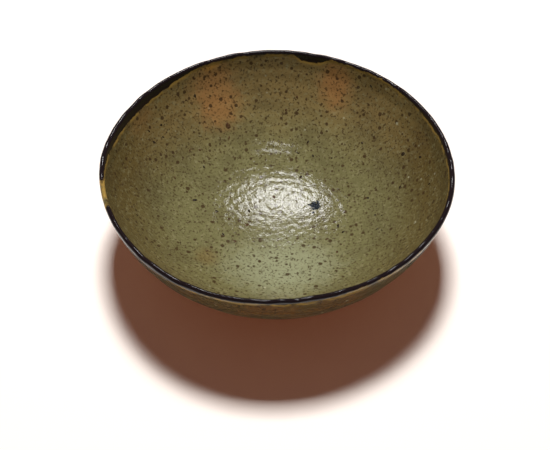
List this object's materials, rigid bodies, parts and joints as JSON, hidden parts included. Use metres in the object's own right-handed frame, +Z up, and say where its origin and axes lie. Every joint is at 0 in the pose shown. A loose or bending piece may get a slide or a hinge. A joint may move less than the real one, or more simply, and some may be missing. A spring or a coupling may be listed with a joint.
{
  "type": "tea bowl",
  "caption": "Wide, low wheel-thrown stoneware tea bowl on a foot ring, with an olive ash glaze and a dark iron glaze over the lip.",
  "frame": {"origin": "middle of the circle on which the foot ring stands", "axes": "+Z up along the bowl's axis, out of its mouth; X and Y are alike because the bowl is round"},
  "size_m": [0.15, 0.15, 0.052],
  "materials": {
    "clay": "bare fired stoneware, rough and reddish brown",
    "inside_ash_glaze": "glossy olive ash glaze, mottled, with fine iron specks",
    "outside_ash_glaze": "glossy olive-brown ash glaze, a little thinner than inside",
    "iron_glaze": "glossy purplish black-brown iron glaze with amber breaks"
  },
  "bodies": {
    "root": {"clay_body": "clay", "foot_ring": "clay", "inside_glaze": "inside_ash_glaze", "outside_glaze": "outside_ash_glaze", "rim_glaze": "iron_glaze"}
  },
  "joints": []
}
